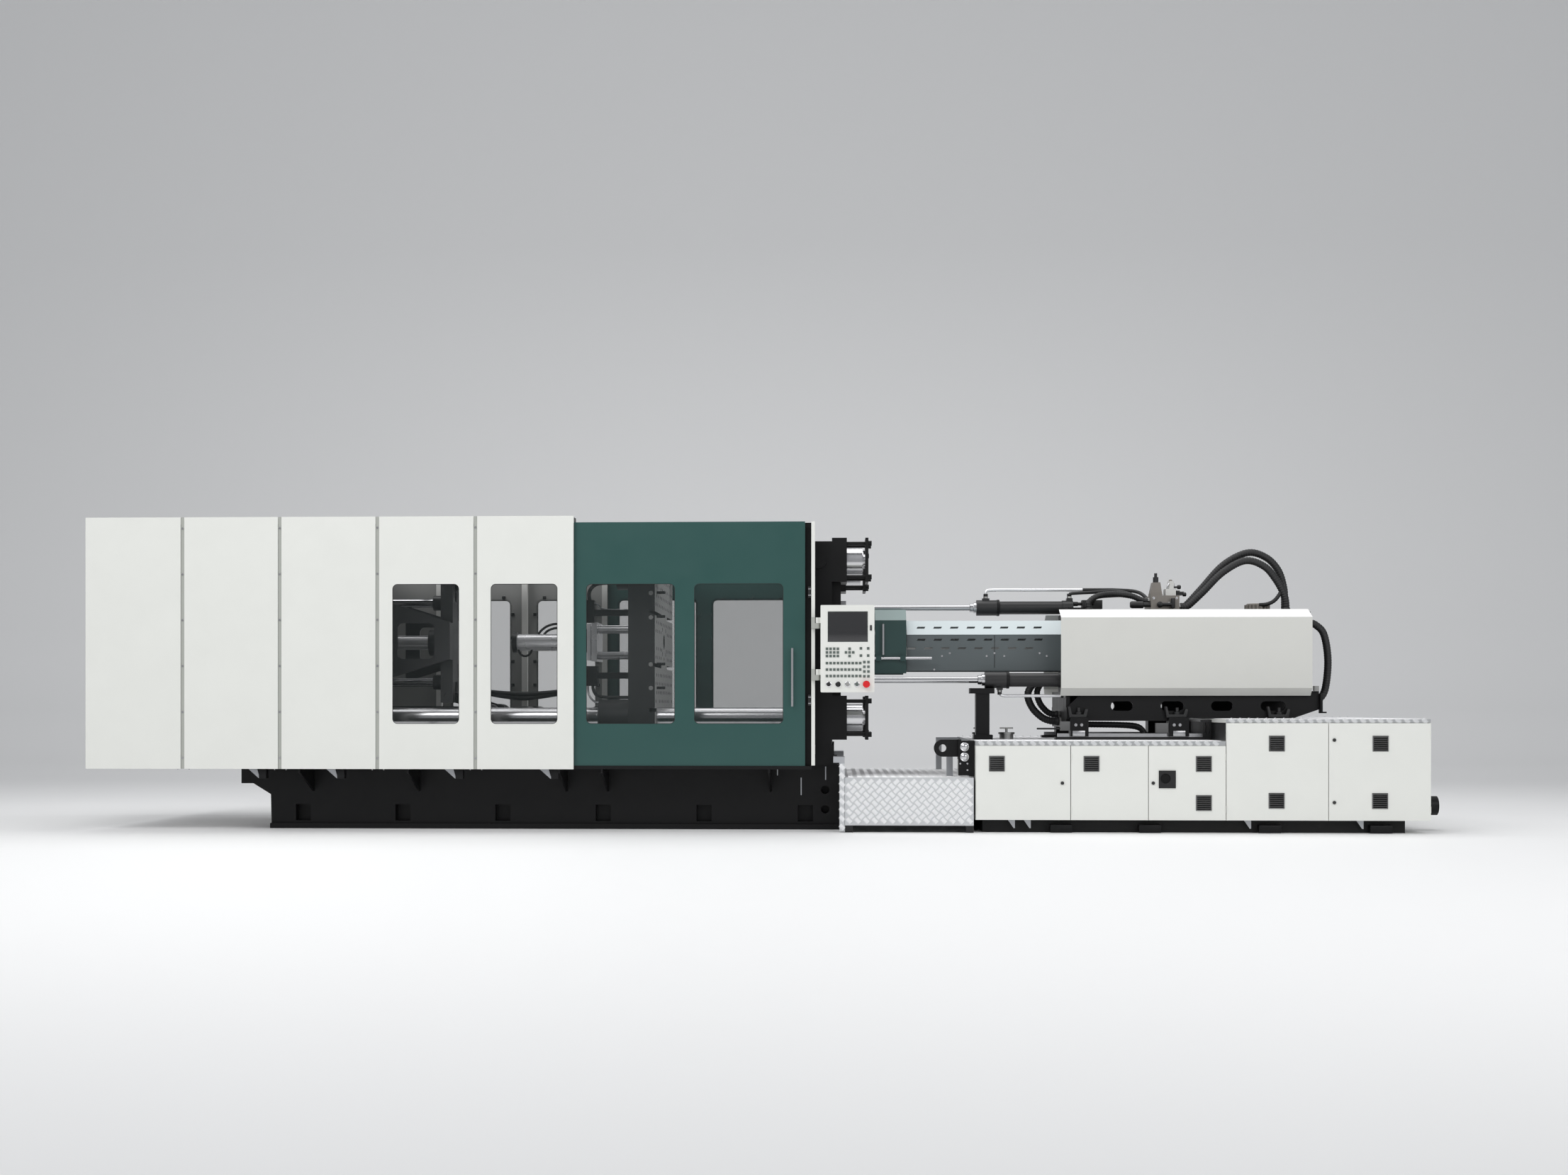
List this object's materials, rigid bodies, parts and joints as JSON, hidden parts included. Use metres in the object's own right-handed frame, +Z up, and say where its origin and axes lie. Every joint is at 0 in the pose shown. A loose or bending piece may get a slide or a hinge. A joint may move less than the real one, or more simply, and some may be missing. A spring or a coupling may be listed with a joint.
{
  "type": "injection moulding machine",
  "caption": "Long horizontal injection moulding machine with a toggle clamp under white covers, green guard doors and a white injection unit on cabinets.",
  "frame": {"origin": "on the floor, on the machine's centreline, below the fixed platen's mould face", "axes": "+X from the clamp towards the injection unit, -Y towards the operator, +Z up"},
  "size_m": [10.546, 2.44, 2.438],
  "materials": {
    "casting_black": "satin",
    "cover_white": "semi-gloss",
    "door_green": "semi-gloss",
    "strip_grey": "satin",
    "hood_grey": "satin",
    "manifold_grey": "satin",
    "bright_steel": "polished",
    "tank_steel": "brushed",
    "checker_aluminium": "bright",
    "tinted_glass": "gloss",
    "key_grey": "matt",
    "stop_red": "gloss",
    "button_black": "satin",
    "button_white": "gloss",
    "hose_rubber": "satin"
  },
  "bodies": {
    "machine": {"clamp_base": "casting_black", "fixed_platen": "casting_black", "tie_bars": "bright_steel", "tie_bar_nuts": "bright_steel", "nut_clamps": "casting_black", "cover_frame": "casting_black", "cover_panels": "cover_white", "joint_strips": "strip_grey", "cover_windows": "tinted_glass", "edge_plates": "cover_white", "hmi_bracket": "strip_grey", "platform": "checker_aluminium", "gauge_bracket": "casting_black", "injection_base": "cover_white", "oil_tank": "tank_steel", "pump_motor": "casting_black", "linear_rails": "bright_steel", "support_column": "casting_black", "carriage_rods": "bright_steel"},
    "tail": {"tail_platen": "casting_black", "adjusting_nuts": "bright_steel", "clamp_cylinder": "casting_black", "crosshead_guides": "bright_steel"},
    "crosshead_body": {"crosshead": "casting_black"},
    "upper_cross_link": {"upper_crosshead_links": "casting_black"},
    "lower_cross_link": {"lower_crosshead_links": "casting_black"},
    "upper_rear": {"upper_rear_links": "casting_black"},
    "upper_front": {"upper_front_links": "casting_black"},
    "lower_rear": {"lower_rear_links": "casting_black"},
    "lower_front": {"lower_front_links": "casting_black"},
    "moving": {"moving_platen": "casting_black", "ejector_cylinder": "bright_steel"},
    "ejector": {"ejector_plate": "bright_steel"},
    "front_guard": {"front_door": "door_green", "front_door_panes": "tinted_glass"},
    "rear_guard": {"rear_door": "door_green", "rear_door_panes": "tinted_glass"},
    "operator_panel": {"hmi_box": "cover_white", "hmi_keypad": "key_grey"},
    "stop_button": {"hmi_stop_button": "stop_red"},
    "black_button": {"hmi_black_button": "button_black"},
    "white_button": {"hmi_white_button": "button_white"},
    "selector": {"hmi_selector": "button_black"},
    "cab_door_1": {"cabinet_door_1": "cover_white"},
    "cab_door_2": {"cabinet_door_2": "cover_white"},
    "cab_door_3": {"cabinet_door_3": "cover_white"},
    "cab_door_4": {"cabinet_door_4": "cover_white"},
    "cab_door_5": {"cabinet_door_5": "cover_white"},
    "cap_left": {"tank_cap_left": "bright_steel"},
    "cap_right": {"tank_cap_right": "bright_steel"},
    "injection_carriage": {"carriage": "casting_black", "injection_covers": "cover_white", "barrel": "bright_steel", "barrel_cover": "hood_grey", "carriage_cylinders": "casting_black", "manifold": "manifold_grey", "hoses": "hose_rubber"},
    "nozzle_guard": {"purge_guard": "door_green"},
    "screw_drive": {"pusher": "casting_black"},
    "screw_body": {"screw": "bright_steel"}
  },
  "joints": [
    {"name": "mould_height", "type": "slide", "parent": "machine", "child": "tail", "axis": [1, 0, 0], "range_m": [-0.1, 0.6]},
    {"name": "toggle", "type": "hinge", "parent": "tail", "child": "upper_rear", "pos_m": [-2.8, 0, 2.12], "axis": [0, 1, 0], "range_deg": [0, 61]},
    {"name": "upper_knee", "type": "hinge", "parent": "upper_rear", "child": "upper_front", "pos_m": [-2.2, 0, 2.12], "axis": [0, 1, 0], "range_deg": [-122, 0]},
    {"name": "platen_pivot", "type": "hinge", "parent": "upper_front", "child": "moving", "pos_m": [-1.6, 0, 2.12], "axis": [0, 1, 0], "range_deg": [0, 61]},
    {"name": "lower_toggle", "type": "hinge", "parent": "tail", "child": "lower_rear", "pos_m": [-2.8, 0, 0.88], "axis": [0, 1, 0], "range_deg": [-61, 0]},
    {"name": "lower_knee", "type": "hinge", "parent": "lower_rear", "child": "lower_front", "pos_m": [-2.2, 0, 0.88], "axis": [0, 1, 0], "range_deg": [0, 122]},
    {"name": "crosshead_slide", "type": "slide", "parent": "tail", "child": "crosshead_body", "axis": [1, 0, 0], "range_m": [-0.2094, 0]},
    {"name": "upper_cross_pivot", "type": "hinge", "parent": "crosshead_body", "child": "upper_cross_link", "pos_m": [-2.848, 0, 1.941], "axis": [0, 1, 0], "range_deg": [0, 36.8]},
    {"name": "lower_cross_pivot", "type": "hinge", "parent": "crosshead_body", "child": "lower_cross_link", "pos_m": [-2.848, 0, 1.059], "axis": [0, 1, 0], "range_deg": [-36.8, 0]},
    {"name": "ejector_slide", "type": "slide", "parent": "moving", "child": "ejector", "axis": [1, 0, 0], "range_m": [0, 0.25]},
    {"name": "front_door_slide", "type": "slide", "parent": "machine", "child": "front_guard", "axis": [-1, 0, 0], "range_m": [0, 1.6]},
    {"name": "rear_door_slide", "type": "slide", "parent": "machine", "child": "rear_guard", "axis": [-1, 0, 0], "range_m": [0, 1.6]},
    {"name": "panel_swivel", "type": "hinge", "parent": "machine", "child": "operator_panel", "pos_m": [0.192, -1.19, 1.408], "axis": [0, 0, 1], "range_deg": [-95, 0]},
    {"name": "stop_press", "type": "slide", "parent": "operator_panel", "child": "stop_button", "axis": [0, 1, 0], "range_m": [0, 0.006]},
    {"name": "black_press", "type": "slide", "parent": "operator_panel", "child": "black_button", "axis": [0, 1, 0], "range_m": [0, 0.005], "stiffness_N_per_m": 600},
    {"name": "white_press", "type": "slide", "parent": "operator_panel", "child": "white_button", "axis": [0, 1, 0], "range_m": [0, 0.005], "stiffness_N_per_m": 600},
    {"name": "selector_turn", "type": "hinge", "parent": "operator_panel", "child": "selector", "pos_m": [0.3475, -1.25, 1.137], "axis": [0, 1, 0], "range_deg": [-45, 45]},
    {"name": "cabinet_hinge_1", "type": "hinge", "parent": "machine", "child": "cab_door_1", "pos_m": [1.405, -1.1025, 0.4], "axis": [0, 0, 1], "range_deg": [-100, 0]},
    {"name": "cabinet_hinge_2", "type": "hinge", "parent": "machine", "child": "cab_door_2", "pos_m": [2.129, -1.1025, 0.4], "axis": [0, 0, 1], "range_deg": [-90, 0]},
    {"name": "cabinet_hinge_3", "type": "hinge", "parent": "machine", "child": "cab_door_3", "pos_m": [3.299, -1.1025, 0.4], "axis": [0, 0, 1], "range_deg": [0, 90]},
    {"name": "cabinet_hinge_4", "type": "hinge", "parent": "machine", "child": "cab_door_4", "pos_m": [3.307, -1.1025, 0.4], "axis": [0, 0, 1], "range_deg": [-90, 0]},
    {"name": "cabinet_hinge_5", "type": "hinge", "parent": "machine", "child": "cab_door_5", "pos_m": [4.841, -1.1025, 0.4], "axis": [0, 0, 1], "range_deg": [0, 100]},
    {"name": "cap_left_turn", "type": "hinge", "parent": "machine", "child": "cap_left", "pos_m": [1.5, -0.25, 0.76], "axis": [0, 0, 1], "continuous": true},
    {"name": "cap_right_turn", "type": "hinge", "parent": "machine", "child": "cap_right", "pos_m": [1.712, -0.25, 0.76], "axis": [0, 0, 1], "continuous": true},
    {"name": "carriage_slide", "type": "slide", "parent": "machine", "child": "injection_carriage", "axis": [1, 0, 0], "range_m": [-0.02, 0.095]},
    {"name": "purge_guard_slide", "type": "slide", "parent": "machine", "child": "nozzle_guard", "axis": [1, 0, 0], "range_m": [0, 0.2]},
    {"name": "injection_stroke", "type": "slide", "parent": "injection_carriage", "child": "screw_drive", "axis": [1, 0, 0], "range_m": [0, 0.45]},
    {"name": "screw_spin", "type": "hinge", "parent": "screw_drive", "child": "screw_body", "pos_m": [3, 0, 1.5], "axis": [1, 0, 0], "continuous": true}
  ],
  "couplings": [
    {"joint": "upper_knee", "follows": "toggle", "ratio": -2},
    {"joint": "platen_pivot", "follows": "toggle", "ratio": 1},
    {"joint": "lower_toggle", "follows": "toggle", "ratio": -1},
    {"joint": "lower_knee", "follows": "toggle", "ratio": 2},
    {"joint": "crosshead_slide", "follows": "toggle", "m_per_rad": -0.19659},
    {"joint": "upper_cross_pivot", "follows": "toggle", "ratio": 0.6015},
    {"joint": "lower_cross_pivot", "follows": "toggle", "ratio": -0.6015}
  ]
}
